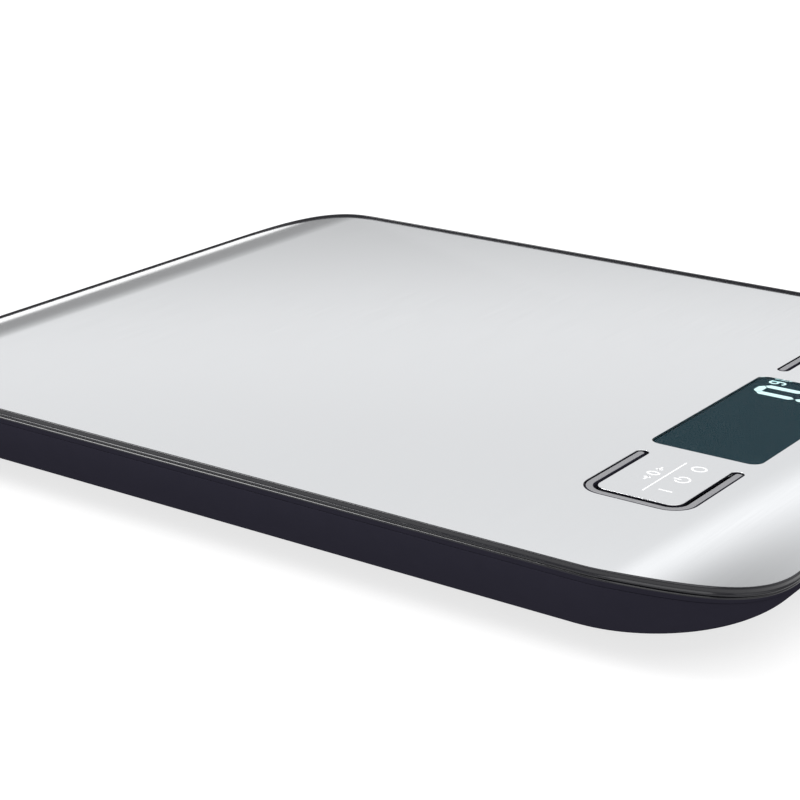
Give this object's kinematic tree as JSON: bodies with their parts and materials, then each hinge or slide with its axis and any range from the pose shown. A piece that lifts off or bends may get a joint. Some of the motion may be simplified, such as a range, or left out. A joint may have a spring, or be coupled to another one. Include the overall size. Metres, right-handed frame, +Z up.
{
  "type": "kitchen scale",
  "caption": "Slim electronic kitchen scale with a brushed steel platform, flush display, two flexing steel keys, curved-down ends, black tub body and sensor feet.",
  "frame": {"origin": "middle of the footprint, on the surface that the four rubber foot pads stand on", "axes": "+X to the right of a user who reads the display, +Y away from that user, +Z up"},
  "size_m": [0.14, 0.1798, 0.0156],
  "materials": {
    "brushed_plate": "satin brushed stainless sheet, very fine grain",
    "adhesive_tape": "thin double-sided tape",
    "gloss_black_cover": "polished black moulding",
    "gloss_black_housing": "semi-gloss blue-black moulding",
    "cell_steel": "bright steel can",
    "plated_contact": "nickel-plated spring steel",
    "smoked_lens": "dark blue-green tinted acrylic with a light digit behind it",
    "lcd_glass": "clear display glass",
    "polariser_film": "grey polarising film",
    "clear_acrylic": "clear moulded light guide",
    "led_white": "white LED package",
    "grey_silicone": "matte silicone",
    "white_plastic": "natural ABS",
    "circuit_board": "green solder mask on glass-epoxy board",
    "black_resin": "cast epoxy dome",
    "chip_parts": "ceramic chip parts",
    "screw_steel": "zinc-plated steel",
    "wire_jacket": "soft PVC jacket",
    "grey_surround": "matte mid-grey moulding",
    "switch_black": "switch case",
    "switch_stem": "switch stem",
    "sensor_steel": "nickel-plated alloy spring plate",
    "gauge_film": "polyimide strain gauge",
    "foot_plastic": "fine-textured black moulding",
    "foot_rubber": "soft matte rubber"
  },
  "bodies": {
    "housing": {"platform_plate": "brushed_plate", "plate_tape": "adhesive_tape", "top_cover": "gloss_black_cover", "lower_housing": "gloss_black_housing", "coin_cell": "cell_steel", "minus_contact": "plated_contact", "plus_contact": "plated_contact", "display_lens": "smoked_lens", "lens_tape": "adhesive_tape", "lcd_panel": "lcd_glass", "front_polariser": "polariser_film", "rear_polariser": "polariser_film", "light_guide": "clear_acrylic", "backlight_leds": "led_white", "zebra_strip": "grey_silicone", "lcd_holder": "white_plastic", "main_board": "circuit_board", "controller_chip": "black_resin", "board_parts": "chip_parts", "housing_screws": "screw_steel", "board_screws": "screw_steel", "sensor_wires": "wire_jacket", "battery_wires": "wire_jacket", "left_key_surround": "grey_surround", "left_switch_body": "switch_black", "right_key_surround": "grey_surround", "right_switch_body": "switch_black", "front_left_sensor_plate": "sensor_steel", "front_left_strain_gauge": "gauge_film", "front_left_sensor_holder": "white_plastic", "front_left_foot_cup": "foot_plastic", "front_left_foot_pad": "foot_rubber", "front_left_foot_rivet": "screw_steel", "front_right_sensor_plate": "sensor_steel", "front_right_strain_gauge": "gauge_film", "front_right_sensor_holder": "white_plastic", "front_right_foot_cup": "foot_plastic", "front_right_foot_pad": "foot_rubber", "front_right_foot_rivet": "screw_steel", "rear_left_sensor_plate": "sensor_steel", "rear_left_strain_gauge": "gauge_film", "rear_left_sensor_holder": "white_plastic", "rear_left_foot_cup": "foot_plastic", "rear_left_foot_pad": "foot_rubber", "rear_left_foot_rivet": "screw_steel", "rear_right_sensor_plate": "sensor_steel", "rear_right_strain_gauge": "gauge_film", "rear_right_sensor_holder": "white_plastic", "rear_right_foot_cup": "foot_plastic", "rear_right_foot_pad": "foot_rubber", "rear_right_foot_rivet": "screw_steel"},
    "left_key": {"left_key": "brushed_plate", "left_key_pad": "grey_silicone"},
    "left_plunger": {"left_switch_plunger": "switch_stem"},
    "right_key": {"right_key": "brushed_plate", "right_key_pad": "grey_silicone"},
    "right_plunger": {"right_switch_plunger": "switch_stem"},
    "battery_door": {"battery_door": "gloss_black_housing"}
  },
  "joints": [
    {"name": "left_key_press", "type": "hinge", "parent": "housing", "child": "left_key", "pos_m": [-0.0253, -0.06055, 0.01491], "axis": [0, -1, 0], "range_deg": [0, 1.2], "stiffness_Nm_per_rad": 4},
    {"name": "left_switch_travel", "type": "slide", "parent": "housing", "child": "left_plunger", "axis": [0, 0, -1], "range_m": [0, 0.00026]},
    {"name": "right_key_press", "type": "hinge", "parent": "housing", "child": "right_key", "pos_m": [0.0253, -0.06055, 0.01491], "axis": [0, 1, 0], "range_deg": [0, 1.2], "stiffness_Nm_per_rad": 4},
    {"name": "right_switch_travel", "type": "slide", "parent": "housing", "child": "right_plunger", "axis": [0, 0, -1], "range_m": [0, 0.00026]},
    {"name": "battery_door_hinge", "type": "hinge", "parent": "housing", "child": "battery_door", "pos_m": [0, 0.01625, 0.0026], "axis": [-1, 0, 0], "range_deg": [0, 80]}
  ],
  "couplings": [
    {"joint": "left_switch_travel", "follows": "left_key_press", "m_per_rad": 0.0112},
    {"joint": "right_switch_travel", "follows": "right_key_press", "m_per_rad": 0.0112}
  ]
}
